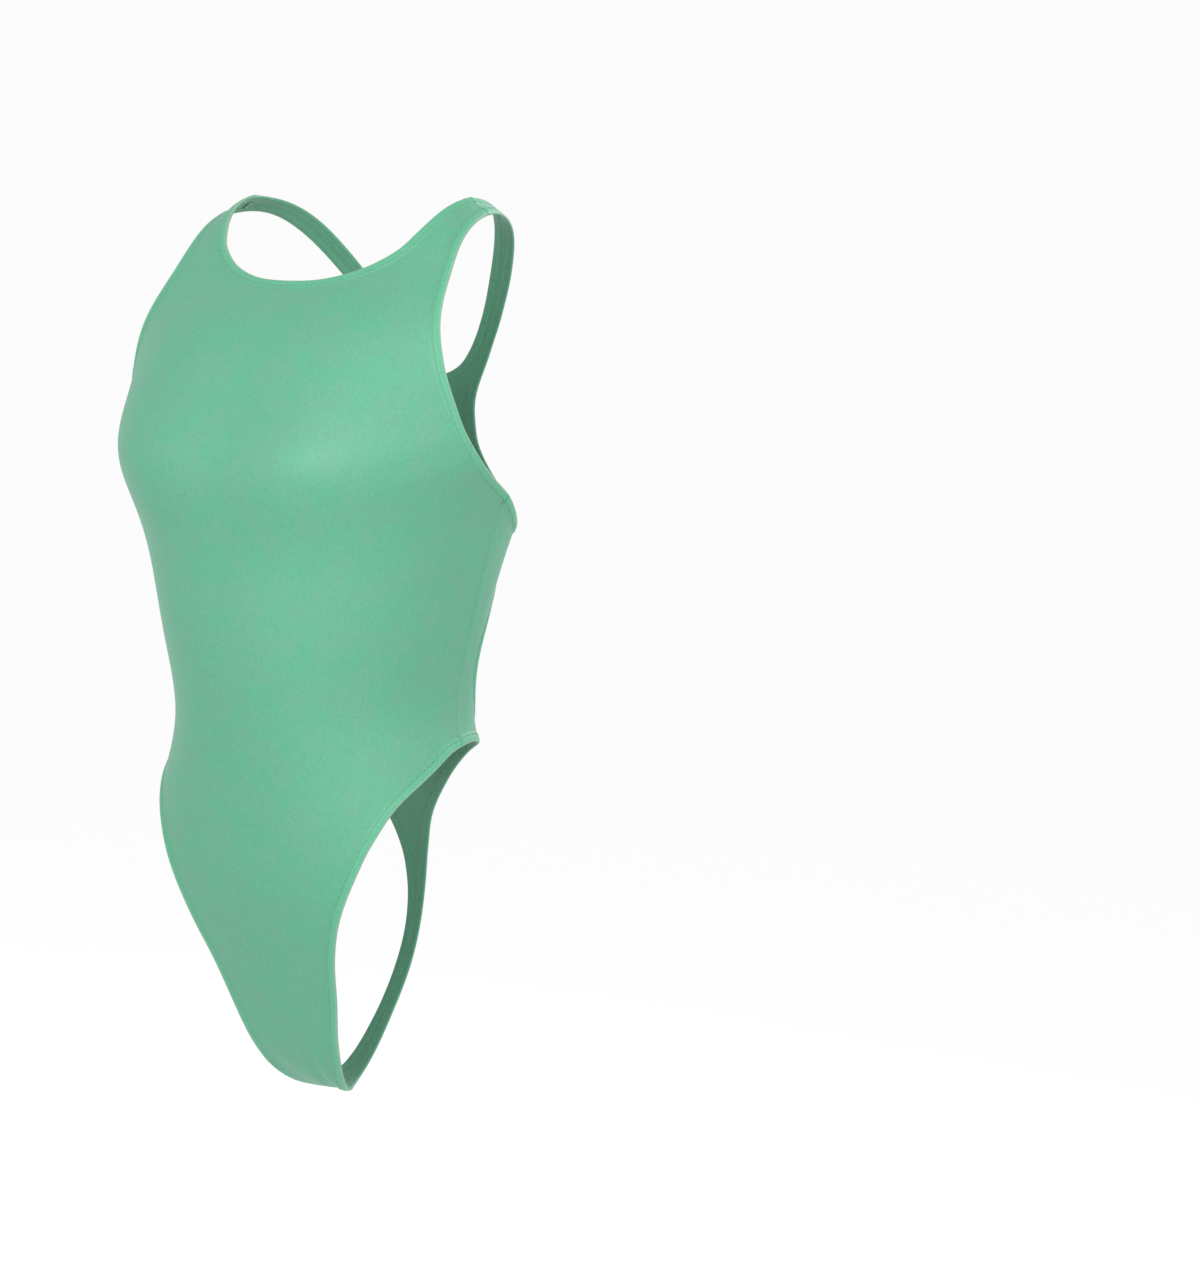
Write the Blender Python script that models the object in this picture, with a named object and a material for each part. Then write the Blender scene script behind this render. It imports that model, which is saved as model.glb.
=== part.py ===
"""Racer-back thong leotard, hollow as it is worn: three cut cloth panels, in metres.

+X is the wearer's left, -Y the front and +Z up. The origin lies midway between the tops of the
two straps, level with the inside of the cloth there.
"""

from collections import namedtuple

import bpy
import numpy as np
from mathutils.geometry import delaunay_2d_cdt

# The cloth: one layer, and the edge folded over its elastic.
WALL = 0.0012
HEM_WALL = 0.0022
HEM_WIDTH = 0.0060
HEM_STEP = 0.0008
SEAM_GAP = 0.0003

# How close the mesh points lie along an edge and inside a panel, and where two hems meet.
EDGE_STEP = 0.011
FIELD_STEP = 0.017
FIELD_MARGIN = 0.013
FINE_STEP = 0.002
HEMS_MEET = 0.0135

# The form that fills the cloth, as loops round a general figure. Loop 0 stands over the
# shoulders, loop 12 lies under the crotch. Each loop has a centre, a tilt of its front
# towards the ground, half a width, a reach to the front and to the back, and how square it is.
Section = namedtuple("Section", "height centre_y tilt half_width front back front_square back_square")
SECTIONS = [
    Section(-0.153, 0.000, -90, 0.170, 0.180, 0.180, 2.3, 2.3),
    Section(-0.158, -0.001, -62, 0.196, 0.138, 0.151, 2.9, 2.3),
    Section(-0.168, -0.004, -35, 0.166, 0.136, 0.126, 2.7, 2.4),
    Section(-0.181, -0.008, -12, 0.153, 0.132, 0.098, 2.7, 2.4),
    Section(-0.203, -0.012, 0, 0.138, 0.134, 0.092, 2.4, 2.4),
    Section(-0.253, -0.012, 0, 0.123, 0.135, 0.078, 2.4, 2.3),
    Section(-0.308, -0.012, 0, 0.111, 0.133, 0.067, 2.3, 2.3),
    Section(-0.363, -0.012, 0, 0.105, 0.122, 0.071, 2.2, 2.3),
    Section(-0.408, -0.012, 4, 0.123, 0.111, 0.078, 2.2, 2.3),
    Section(-0.438, -0.012, 20, 0.141, 0.107, 0.108, 2.2, 2.2),
    Section(-0.455, -0.012, 42, 0.147, 0.108, 0.136, 2.2, 2.0),
    Section(-0.465, -0.012, 66, 0.150, 0.129, 0.157, 2.0, 2.0),
    Section(-0.469, -0.012, 90, 0.150, 0.174, 0.174, 2.0, 2.0),
]
HALF_LOOP = len(SECTIONS) - 1
LOOP = 2 * HALF_LOOP

# The cloth rounds over the bust as two soft mounds: how far out, at which loop and angle,
# and how wide each is along the loops and across them.
BUST_RISE = 0.022
BUST_LOOP = 3.6
BUST_ANGLE = 27
BUST_LOOPS_WIDE = 1.0
BUST_ANGLE_WIDE = 28

# The cut edges, each as (loop, angle from the centre line in degrees). Loops 12 to 24 run on
# up the back, where the angle is from the centre of the back. An edge that goes on past a
# seam has one more point beyond it, for its direction only.
NECK_FRONT = [
    (1.40, 0), (1.36, 12), (1.20, 22), (0.96, 28.5), (0.72, 30.5), (0.42, 31.1), (0.12, 31.0),
    (-0.23, 30.2),
]
ARM_FRONT = [
    (-0.18, 35.8), (0.12, 37.5), (0.61, 40.4), (1.06, 44.5), (1.60, 48.7), (1.98, 53.3),
    (2.37, 59.3), (2.84, 66.2), (3.40, 77.2), (3.86, 90), (4.25, 102),
]
LEG_FRONT = [
    (7.30, 101), (7.38, 90), (7.53, 79.5), (8.04, 60), (8.54, 50), (9.04, 43), (9.60, 36),
    (10.2, 30), (10.8, 24), (11.3, 17), (11.8, 10.3), (12.1, 6.5), (12.45, 3.6),
]
NECK_BACK = [
    (21.68, 0), (21.76, 7.5), (21.94, 12.2), (22.30, 17.2), (22.72, 21.8), (23.14, 25.7),
    (23.77, 30.2), (24.12, 31.0), (24.40, 31.0),
]
ARM_BACK = [
    (24.61, 40.4), (24.12, 37.5), (23.80, 35.6), (23.27, 33.0), (22.78, 29.4), (22.33, 24.7),
    (21.93, 20.6), (21.48, 18.6), (21.05, 24.2), (20.62, 31.5), (20.22, 40.0), (19.75, 52.3),
    (19.57, 67.4), (19.70, 77), (20.14, 90), (20.60, 101),
]
ARM_JOIN = 10
OPENING = [
    (20.51, 0), (20.46, 9), (20.36, 17), (20.08, 27), (19.82, 34.8), (19.50, 45), (19.07, 57),
    (18.48, 70), (17.92, 76), (17.40, 72), (16.91, 58), (16.45, 39.5), (16.16, 25), (15.96, 12),
    (15.89, 0),
]
OPENING_JOIN = 4
LEG_BACK = [
    (11.8, 10.3), (12.1, 6.5), (12.45, 3.6), (13.07, 2.7), (13.7, 2.7), (14.18, 2.9),
    (14.6, 4.0), (15.0, 6.9), (15.40, 13.8), (15.85, 29.5), (16.38, 51), (16.60, 68),
    (16.67, 80), (16.62, 90), (16.47, 100.5),
]

CLOTH_COLOUR = (0.20, 0.53, 0.34, 1)

# For the layout of the triangles: a usual distance from the body's middle line, how finely a
# curve is followed, a small distance, and how far a slope is measured along a loop and an angle.
MEAN_RADIUS = 0.13
CURVE_STEPS = 16
TINY = 1e-4
MERGE = 1e-7
SLOPE_LOOP = 1e-3
SLOPE_ANGLE = 5e-2
MOVE_ROUNDS = 4


def loop_table():
    """All the loops in order, down the front and up the back: one row of numbers each."""
    front = [
        (s.height, s.centre_y, s.tilt, s.half_width, s.front, s.front_square) for s in SECTIONS
    ]
    back = [
        (s.height, s.centre_y, 180 - s.tilt, s.half_width, s.back, s.back_square)
        for s in SECTIONS[-2:0:-1]
    ]
    return np.array(front + back, float)


def loop_slopes(table, turn):
    """The slope of a smooth closed curve through each column of the table."""
    system = np.zeros((LOOP, LOOP))
    for i in range(LOOP):
        system[i, i] = 4
        system[i, i - 1] += 1
        system[i, (i + 1) % LOOP] += 1
    around = np.vstack([table[-1] - turn, table, table[0] + turn])
    return np.linalg.solve(system, 3 * (around[2:] - around[:-2]))


TURN = np.array([0, 0, 360.0, 0, 0, 0])
TABLE = loop_table()
SLOPES = loop_slopes(TABLE, TURN)


def loop_at(loop):
    """The six numbers of the loop at any place between the loops of the table."""
    lap = np.floor(loop / LOOP)
    along = loop - lap * LOOP
    i = np.minimum(along.astype(int), LOOP - 1)
    t = (along - i)[..., None]
    j = (i + 1) % LOOP
    start = TABLE[i]
    end = TABLE[j] + TURN * (j < i)[..., None]
    value = (2 * t**3 - 3 * t**2 + 1) * start + (3 * t**2 - 2 * t**3) * end
    return value + (t**3 - 2 * t**2 + t) * SLOPES[i] + (t**3 - t**2) * SLOPES[j]


def bust(loop, angle):
    """How far the two mounds of the bust lift the cloth."""
    down = np.exp(-(((loop - BUST_LOOP) / BUST_LOOPS_WIDE) ** 2))
    width = np.radians(BUST_ANGLE_WIDE)
    sides = [np.exp(-(((angle - side * np.radians(BUST_ANGLE)) / width) ** 2)) for side in (-1, 1)]
    return BUST_RISE * down * sum(sides)


def form(chart):
    """Points of the form for an array of (loop, angle in degrees)."""
    loop = chart[..., 0]
    angle = np.radians(chart[..., 1])
    height, centre_y, tilt, half_width, reach, square = np.moveaxis(loop_at(loop), -1, 0)
    across = np.abs(np.sin(angle) / half_width) ** square
    along = np.abs(np.cos(angle) / reach) ** square
    radius = (across + along) ** (-1 / square) + bust(loop, angle)
    outwards = radius * np.cos(angle)
    lean = np.radians(tilt)
    y = centre_y - outwards * np.cos(lean)
    z = height - outwards * np.sin(lean)
    return np.stack([radius * np.sin(angle), y, z], -1)


def slopes_of_form(chart):
    """How the form moves for one loop and for one degree."""
    step_loop = np.array([SLOPE_LOOP, 0])
    step_angle = np.array([0, SLOPE_ANGLE])
    per_loop = (form(chart + step_loop) - form(chart - step_loop)) / (2 * SLOPE_LOOP)
    per_degree = (form(chart + step_angle) - form(chart - step_angle)) / (2 * SLOPE_ANGLE)
    return per_loop, per_degree


def unit(vectors):
    return vectors / np.linalg.norm(vectors, axis=-1, keepdims=True)


def outward(chart):
    per_loop, per_degree = slopes_of_form(chart)
    return unit(np.cross(per_loop, per_degree))


def moved(chart, inwards, distance):
    """The chart points moved over the form by a distance in each given direction."""
    target = form(chart) + inwards * distance
    for _ in range(MOVE_ROUNDS):
        per_loop, per_degree = slopes_of_form(chart)
        short = target - form(chart)
        a = (per_loop * per_loop).sum(-1)
        b = (per_loop * per_degree).sum(-1)
        c = (per_degree * per_degree).sum(-1)
        p = (per_loop * short).sum(-1)
        q = (per_degree * short).sum(-1)
        chart = chart + np.stack([c * p - b * q, a * q - b * p], -1) / (a * c - b * b)[:, None]
    return chart


def smooth(points, first, last):
    """A curve through the points, from one of them to another, evenly stepped along the form."""
    knots = np.array(points, float)
    knots = np.vstack([2 * knots[0] - knots[1], knots, 2 * knots[-1] - knots[-2]])
    t = np.linspace(0, 1, CURVE_STEPS, endpoint=False)[:, None]
    pieces = []
    for i in range(first, last):
        a, b, c, d = knots[i : i + 4]
        bend = (2 * a - 5 * b + 4 * c - d) * t**2 + (3 * b - 3 * c + d - a) * t**3
        pieces.append(0.5 * (2 * b + (c - a) * t + bend))
    pieces.append(knots[last + 1 : last + 2])
    return evenly(np.vstack(pieces), EDGE_STEP)


def evenly(chart, step, marks=()):
    """The line stepped evenly along the form, with extra points at the marks from each end."""
    gone = np.linalg.norm(np.diff(form(chart), axis=0), axis=1)
    gone = np.concatenate([[0], np.cumsum(gone)])
    whole = gone[-1]
    stops = np.linspace(0, whole, max(2, round(whole / step) + 1))
    if marks:
        near = max(marks)
        extra = [*marks, *(whole - m for m in marks)]
        inner = [s for s in stops if near + step / 3 < s < whole - near - step / 3]
        stops = np.array(sorted([0, whole, *inner, *extra]))
    return np.stack([np.interp(stops, gone, chart[:, k]) for k in (0, 1)], -1)


def mirrored(points):
    """The same points on the wearer's right, in the other order."""
    return [(loop, -angle) for loop, angle in reversed(points)]


def both_sides(points):
    """An edge that crosses the centre line, from the wearer's right to the left."""
    return mirrored(points[1:]) + list(points)


def seam(start, end):
    """A straight seam in the chart, with points where the hems at its ends stop."""
    line = np.linspace(start, end, CURVE_STEPS)
    return evenly(line, FIELD_STEP, (HEM_WIDTH, HEM_WIDTH + HEM_STEP))


def edge_directions(line, turn):
    """For each point of an edge, the direction over the form that leads into the panel."""
    along = unit(np.gradient(form(line), axis=0))
    return turn * np.cross(outward(line), along)


Edge = namedtuple("Edge", "line is_seam")


def other_side(edges):
    """The edges of one half and their mirror images, as one loop without the centre's."""
    back = [Edge((e.line * (1, -1))[::-1], e.is_seam) for e in reversed(edges)]
    return list(edges) + back


def front_edges():
    """Round the wearer's left half of the front panel, then the whole loop."""
    arm = Edge(smooth(ARM_FRONT, 1, len(ARM_FRONT) - 2), False)
    leg = Edge(smooth(LEG_FRONT, 1, len(LEG_FRONT) - 2), False)
    shoulder = Edge(seam(NECK_FRONT[-2], ARM_FRONT[1]), True)
    side = Edge(seam(ARM_FRONT[-2], LEG_FRONT[1]), True)
    half = [shoulder, arm, side, leg]
    neck = both_sides(NECK_FRONT)
    crotch = seam(LEG_FRONT[-2], (LEG_FRONT[-2][0], -LEG_FRONT[-2][1]))
    loop = other_side(half)
    loop.insert(len(half), Edge(crotch, True))
    return [Edge(smooth(neck, 1, len(neck) - 2), False)] + loop


def racer_edges():
    """Round the back racer, from the neck edge down its left strap and back up the right."""
    arm = Edge(smooth(ARM_BACK, 1, ARM_JOIN), False)
    shoulder = Edge(seam(NECK_BACK[-2], ARM_BACK[1]), True)
    join = Edge(seam(ARM_BACK[ARM_JOIN], OPENING[OPENING_JOIN]), True)
    half = [shoulder, arm, join]
    neck = both_sides(NECK_BACK)
    arch = both_sides(OPENING[: OPENING_JOIN + 2])[::-1]
    loop = other_side(half)
    loop.insert(len(half), Edge(smooth(arch, 1, len(arch) - 2), False))
    return [Edge(smooth(neck, 1, len(neck) - 2), False)] + loop


def lower_back_edges():
    """Round the lower back, from the opening's left join out over the wing and down the leg."""
    arm = Edge(smooth(ARM_BACK, ARM_JOIN, len(ARM_BACK) - 2), False)
    leg = Edge(smooth(LEG_BACK, 1, len(LEG_BACK) - 2)[::-1], False)
    join = Edge(seam(OPENING[OPENING_JOIN], ARM_BACK[ARM_JOIN]), True)
    side = Edge(seam(ARM_BACK[-2], LEG_BACK[-2]), True)
    half = [join, arm, side, leg]
    lower = OPENING[OPENING_JOIN - 1 :]
    opening = mirrored(lower[:-1])[::-1] + lower[::-1]
    crotch = seam(LEG_BACK[1], (LEG_BACK[1][0], -LEG_BACK[1][1]))
    loop = other_side(half)
    loop.insert(len(half), Edge(crotch, True))
    return [Edge(smooth(opening, 1, len(opening) - 2), False)] + loop


def flat(chart):
    """The chart laid out in metres, near enough to size for good triangles."""
    down = np.interp(chart[:, 0], LOOP_PLACES, LOOP_LENGTHS)
    return np.stack([np.radians(chart[:, 1]) * MEAN_RADIUS, down], -1)


def centre_lengths():
    """How far down the centre line each loop lies."""
    places = np.linspace(-1, LOOP + 1, 20 * (LOOP + 2) + 1)
    centre = form(np.stack([places, np.zeros_like(places)], -1))
    steps = np.linalg.norm(np.diff(centre, axis=0), axis=1)
    return places, np.concatenate([[0], np.cumsum(steps)])


LOOP_PLACES, LOOP_LENGTHS = centre_lengths()


def inside(points, loop):
    """Which flat points lie inside the flat closed loop."""
    found = np.zeros(len(points), bool)
    x, y = points.T
    for a, b in zip(loop, np.roll(loop, -1, axis=0)):
        crosses = (a[1] > y) != (b[1] > y)
        with np.errstate(divide="ignore", invalid="ignore"):
            at = a[0] + (y - a[1]) * (b[0] - a[0]) / (b[1] - a[1])
        found ^= crosses & (x < at)
    return found


def nearest(points, others):
    """The distance in space from each point to the nearest of the others."""
    return np.array([np.linalg.norm(others - p, axis=1).min() for p in points])


def dense(chart, step=FINE_STEP):
    """Closely spaced points in space along a line of the chart."""
    return form(evenly(chart, step))


def hem_lines(edges, turn, boundary, distance):
    """Lines that run beside the free edges, broken where another edge comes too close."""
    lines = []
    for k, edge in enumerate(edges):
        if edge.is_seam:
            continue
        line = moved(edge.line, edge_directions(edge.line, turn), distance)
        others = np.vstack([dense(e.line) for j, e in enumerate(edges) if j != k])
        place = form(line)
        own = nearest(place, dense(edge.line))
        clear = (nearest(place, others) > HEMS_MEET / 2) & (own > distance - HEM_STEP / 2)
        clear &= inside(flat(line), boundary) & across_is_wide(edge.line, edges, k, turn)
        runs = np.split(np.arange(len(line)), np.flatnonzero(np.diff(clear.astype(int))) + 1)
        lines += [line[run] for run in runs if clear[run[0]] and len(run) > 1]
    return lines


def across_is_wide(line, edges, own, turn):
    """Whether a point two hems in from the edge is still a hem clear of every other free edge."""
    far_line = moved(line, edge_directions(line, turn), HEMS_MEET)
    free = [dense(e.line) for j, e in enumerate(edges) if j != own and not e.is_seam]
    return nearest(form(far_line), np.vstack(free)) > HEM_WIDTH + 2 * HEM_STEP


def field_points(boundary, around):
    """Evenly spread points inside the panel, clear of its edges."""
    low, high = boundary.min(axis=0), boundary.max(axis=0)
    rows = np.arange(low[1] + FIELD_STEP / 2, high[1], FIELD_STEP)
    points = []
    for n, y in enumerate(rows):
        count = int((high[0] - low[0]) / FIELD_STEP)
        shift = FIELD_STEP / 2 if n % 2 else 0
        xs = np.arange(-count, count + 1) * FIELD_STEP + shift
        points += [(x, y) for x in xs if low[0] < x < high[0]]
    points = np.array(points)
    points = points[inside(points, boundary)]
    loops = np.interp(points[:, 1], LOOP_LENGTHS, LOOP_PLACES)
    chart = np.stack([loops, np.degrees(points[:, 0] / MEAN_RADIUS)], -1)
    return chart[nearest(form(chart), around) > FIELD_MARGIN]


def turn_of(edges):
    """Which way round the edges run, so that a step inwards has the right sign."""
    x, y = flat(np.vstack([edge.line for edge in edges])).T
    return -np.sign((x * np.roll(y, -1) - np.roll(x, -1) * y).sum())


def outline(edges, turn):
    """The closed loop of points, seams drawn back by half a gap, and each point's thickness."""
    points, thick = [], []
    for edge in edges:
        if edge.is_seam:
            line = moved(edge.line, edge_directions(edge.line, turn), SEAM_GAP / 2)
            place = dense(edge.line, TINY)
            along = np.minimum(
                np.linalg.norm(form(edge.line) - place[0], axis=1),
                np.linalg.norm(form(edge.line) - place[-1], axis=1),
            )
            whole = np.linalg.norm(place[0] - place[-1])
            hemmed = (along < HEM_WIDTH + TINY) | (whole < 2 * HEMS_MEET)
            thick.append(np.where(hemmed, HEM_WALL, WALL))
        else:
            line = edge.line[1:-1]
            thick.append(np.full(len(line), HEM_WALL))
        points.append(line)
    return np.vstack(points), np.concatenate(thick)


def fill(points, links, boundary):
    """Triangles between the flat points that keep every link and stay inside the boundary."""
    filled = delaunay_2d_cdt([tuple(p) for p in points], links, [], 0, MERGE, True)
    sources = np.array([source[0] for source in filled[3]])
    triangles = sources[np.array(filled[2])]
    return triangles[inside(points[triangles].mean(axis=1), boundary)]


def panel_mesh(name, edges):
    """One panel: its outline and hem lines filled with triangles, and given its thickness."""
    turn = turn_of(edges)
    rim, rim_thick = outline(edges, turn)
    boundary = flat(rim)
    around = np.vstack([dense(e.line) for e in edges])
    charts, thicks = [rim], [rim_thick]
    links = [(i, (i + 1) % len(rim)) for i in range(len(rim))]
    for distance, thickness in ((HEM_WIDTH, HEM_WALL), (HEM_WIDTH + HEM_STEP, WALL)):
        for line in hem_lines(edges, turn, boundary, distance):
            start = sum(len(c) for c in charts)
            links += [(start + i, start + i + 1) for i in range(len(line) - 1)]
            charts.append(line)
            thicks.append(np.full(len(line), thickness))
    field = field_points(boundary, around)
    charts.append(field)
    thicks.append(np.full(len(field), WALL))
    chart = np.vstack(charts)
    thick = np.concatenate(thicks)
    inner = form(chart)
    outer = inner + outward(chart) * thick[:, None]
    solid(name, inner, outer, fill(flat(chart), links, boundary))


def solid(name, inner, outer, triangles):
    """Two faces of cloth with their rims joined, as one closed mesh object."""
    count = len(inner)
    worn_side = triangles[:, ::-1] + count
    ends = {(a, b) for t in triangles.tolist() for a, b in zip(t, t[1:] + t[:1])}
    rim = [(a, b) for a, b in ends if (b, a) not in ends]
    sides = []
    for a, b in sorted(rim):
        sides += [(b, a, a + count), (b, a + count, b + count)]
    mesh = bpy.data.meshes.new(name)
    faces = np.vstack([triangles, worn_side, sides])
    mesh.from_pydata(np.vstack([inner, outer]).tolist(), [], faces.tolist())
    panel = bpy.data.objects.new(name, mesh)
    bpy.context.scene.collection.objects.link(panel)
    mesh.materials.append(cloth_material(name))


def cloth_material(name):
    material = bpy.data.materials.new(name + "_knit")
    material.use_nodes = True
    shader = material.node_tree.nodes["Principled BSDF"]
    shader.inputs["Base Color"].default_value = CLOTH_COLOUR
    shader.inputs["Roughness"].default_value = 0.6
    return material


def main():
    for old in list(bpy.data.objects):
        bpy.data.objects.remove(old)
    panel_mesh("front_panel", front_edges())
    panel_mesh("back_racer", racer_edges())
    panel_mesh("back_lower", lower_back_edges())


main()
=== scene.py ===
from collections import namedtuple

import bmesh
import bpy
import numpy as np
from mathutils import Matrix, Vector
from mathutils.geometry import delaunay_2d_cdt
from mathutils.kdtree import KDTree


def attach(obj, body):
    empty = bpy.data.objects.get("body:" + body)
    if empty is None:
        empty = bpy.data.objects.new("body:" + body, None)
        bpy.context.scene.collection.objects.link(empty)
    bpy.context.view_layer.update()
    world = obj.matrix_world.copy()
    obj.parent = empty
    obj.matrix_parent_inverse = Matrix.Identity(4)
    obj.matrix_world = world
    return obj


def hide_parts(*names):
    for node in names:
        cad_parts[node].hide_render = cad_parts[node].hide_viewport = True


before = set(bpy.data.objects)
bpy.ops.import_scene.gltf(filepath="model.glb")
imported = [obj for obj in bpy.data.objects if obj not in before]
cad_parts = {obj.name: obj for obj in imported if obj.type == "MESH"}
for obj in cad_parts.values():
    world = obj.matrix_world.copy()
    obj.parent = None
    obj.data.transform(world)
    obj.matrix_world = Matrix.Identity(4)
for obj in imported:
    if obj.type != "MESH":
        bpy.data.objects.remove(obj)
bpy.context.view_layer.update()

# Front panel
# One piece of green stretch knit with both front straps, cut flat and stretched smooth as it is
# worn. Elastic is folded into its neck, arm and leg edges and held by a zigzag stitch.

# The worn form is a row of loops, from over the shoulders (0) down the front to the crotch (12)
# and up the back to 24. The cloth lies on it. Each loop is a rounded oval: its reach to the front
# and to the back is its own, and a higher square makes its corners fuller.
Section = namedtuple(
    "Section", "height centre_y tilt half_width front back front_square back_square"
)
SECTIONS = [
    Section(-0.153, 0.000, -90, 0.170, 0.180, 0.180, 2.3, 2.3),
    Section(-0.158, -0.001, -62, 0.196, 0.138, 0.151, 2.9, 2.3),
    Section(-0.168, -0.004, -35, 0.166, 0.136, 0.126, 2.7, 2.4),
    Section(-0.181, -0.008, -12, 0.153, 0.132, 0.098, 2.7, 2.4),
    Section(-0.203, -0.012, 0, 0.138, 0.134, 0.092, 2.4, 2.4),
    Section(-0.253, -0.012, 0, 0.123, 0.135, 0.078, 2.4, 2.3),
    Section(-0.308, -0.012, 0, 0.111, 0.133, 0.067, 2.3, 2.3),
    Section(-0.363, -0.012, 0, 0.105, 0.122, 0.071, 2.2, 2.3),
    Section(-0.408, -0.012, 4, 0.123, 0.111, 0.078, 2.2, 2.3),
    Section(-0.438, -0.012, 20, 0.141, 0.107, 0.108, 2.2, 2.2),
    Section(-0.455, -0.012, 42, 0.147, 0.108, 0.136, 2.2, 2.0),
    Section(-0.465, -0.012, 66, 0.150, 0.129, 0.157, 2.0, 2.0),
    Section(-0.469, -0.012, 90, 0.150, 0.174, 0.174, 2.0, 2.0),
]
LOOP = 2 * (len(SECTIONS) - 1)
ONE_TURN = np.array([0, 0, 360.0, 0, 0, 0])

# The cloth rounds over the bust as two soft mounds.
BUST_RISE = 0.022
BUST_LOOP, BUST_LOOPS_WIDE = 3.6, 1.0
BUST_ANGLE, BUST_ANGLE_WIDE = np.radians(27), np.radians(28)

# How far a slope is measured, a usual distance from the form's middle line, and how finely the
# centre line is stepped.
SLOPE_STEPS = np.array([[1e-3, 0], [0, 5e-2]])
MEAN_RADIUS = 0.13
MOVE_ROUNDS = 4
CENTRE_STEPS = 20


def loop_table():
    """All the loops in order, down the front and up the back."""
    down = [(s.height, s.centre_y, s.tilt, s.half_width, s.front, s.front_square) for s in SECTIONS]
    up = [
        (s.height, s.centre_y, 180 - s.tilt, s.half_width, s.back, s.back_square)
        for s in SECTIONS[-2:0:-1]
    ]
    return np.array(down + up, float)


def loop_slopes(table):
    """The slope of a smooth closed curve through each column of the table."""
    system = 4 * np.eye(LOOP) + np.roll(np.eye(LOOP), 1, axis=1) + np.roll(np.eye(LOOP), -1, axis=1)
    around = np.vstack([table[-1] - ONE_TURN, table, table[0] + ONE_TURN])
    return np.linalg.solve(system, 3 * (around[2:] - around[:-2]))


loops = loop_table()
slopes = loop_slopes(loops)


def loop_at(loop):
    """The numbers of the loop at any place between the loops of the table."""
    along = loop - np.floor(loop / LOOP) * LOOP
    i = np.minimum(along.astype(int), LOOP - 1)
    j = (i + 1) % LOOP
    t = (along - i)[..., None]
    end = loops[j] + ONE_TURN * (j < i)[..., None]
    value = (2 * t**3 - 3 * t**2 + 1) * loops[i] + (3 * t**2 - 2 * t**3) * end
    return value + (t**3 - 2 * t**2 + t) * slopes[i] + (t**3 - t**2) * slopes[j]


def form(chart):
    """Points of the form for an array of (loop, angle in degrees)."""
    angle = np.radians(chart[..., 1])
    height, centre_y, tilt, half_width, reach, square = np.moveaxis(loop_at(chart[..., 0]), -1, 0)
    across = np.abs(np.sin(angle) / half_width) ** square
    ahead = np.abs(np.cos(angle) / reach) ** square
    down = np.exp(-(((chart[..., 0] - BUST_LOOP) / BUST_LOOPS_WIDE) ** 2))
    mounds = sum(np.exp(-(((angle - s * BUST_ANGLE) / BUST_ANGLE_WIDE) ** 2)) for s in (-1, 1))
    radius = (across + ahead) ** (-1 / square) + BUST_RISE * down * mounds
    outwards = radius * np.cos(angle)
    lean = np.radians(tilt)
    y = centre_y - outwards * np.cos(lean)
    z = height - outwards * np.sin(lean)
    return np.stack([radius * np.sin(angle), y, z], -1)


def slopes_of_form(chart):
    """How the form moves for one loop and for one degree."""
    return [(form(chart + s) - form(chart - s)) / (2 * s.sum()) for s in SLOPE_STEPS]


def unit(vectors):
    """Each vector made one long."""
    return vectors / np.linalg.norm(vectors, axis=-1, keepdims=True)


def outward(chart):
    """The direction straight out of the cloth at each chart point."""
    return unit(np.cross(*slopes_of_form(chart)))


def moved(chart, way, distance):
    """The chart points moved over the form by a distance in each given direction."""
    target = form(chart) + way * distance
    for _ in range(MOVE_ROUNDS):
        per_loop, per_degree = slopes_of_form(chart)
        short = target - form(chart)
        a = (per_loop * per_loop).sum(-1)
        b = (per_loop * per_degree).sum(-1)
        c = (per_degree * per_degree).sum(-1)
        p = (per_loop * short).sum(-1)
        q = (per_degree * short).sum(-1)
        chart = chart + np.stack([c * p - b * q, a * q - b * p], -1) / (a * c - b * b)[:, None]
    return chart


centre_places = np.linspace(-1, LOOP + 1, CENTRE_STEPS * (LOOP + 2) + 1)
centre_line = form(np.stack([centre_places, np.zeros_like(centre_places)], -1))
centre_steps = np.linalg.norm(np.diff(centre_line, axis=0), axis=1)
centre_lengths = np.concatenate([[0], np.cumsum(centre_steps)])


def flat(chart):
    """The chart laid out in metres: across from the centre line, and down it."""
    down = np.interp(chart[..., 0], centre_places, centre_lengths)
    return np.stack([np.radians(chart[..., 1]) * MEAN_RADIUS, down], -1)


def chart_of(laid):
    """The chart points of flat ones."""
    places = np.interp(laid[..., 1], centre_lengths, centre_places)
    return np.stack([places, np.degrees(laid[..., 0] / MEAN_RADIUS)], -1)


# The elastic edges, each as (loop, angle from the centre line in degrees). An edge that goes on
# past a seam has one more point beyond it.
NECK_FRONT = [
    (1.40, 0), (1.36, 12), (1.20, 22), (0.96, 28.5), (0.72, 30.5), (0.42, 31.1), (0.12, 31.0),
    (-0.23, 30.2),
]
ARM_FRONT = [
    (-0.18, 35.8), (0.12, 37.5), (0.61, 40.4), (1.06, 44.5), (1.60, 48.7), (1.98, 53.3),
    (2.37, 59.3), (2.84, 66.2), (3.40, 77.2), (3.86, 90), (4.25, 102),
]
LEG_FRONT = [
    (7.30, 101), (7.38, 90), (7.53, 79.5), (8.04, 60), (8.54, 50), (9.04, 43), (9.60, 36),
    (10.2, 30), (10.8, 24), (11.3, 17), (11.8, 10.3), (12.1, 6.5), (12.45, 3.6),
]

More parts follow.
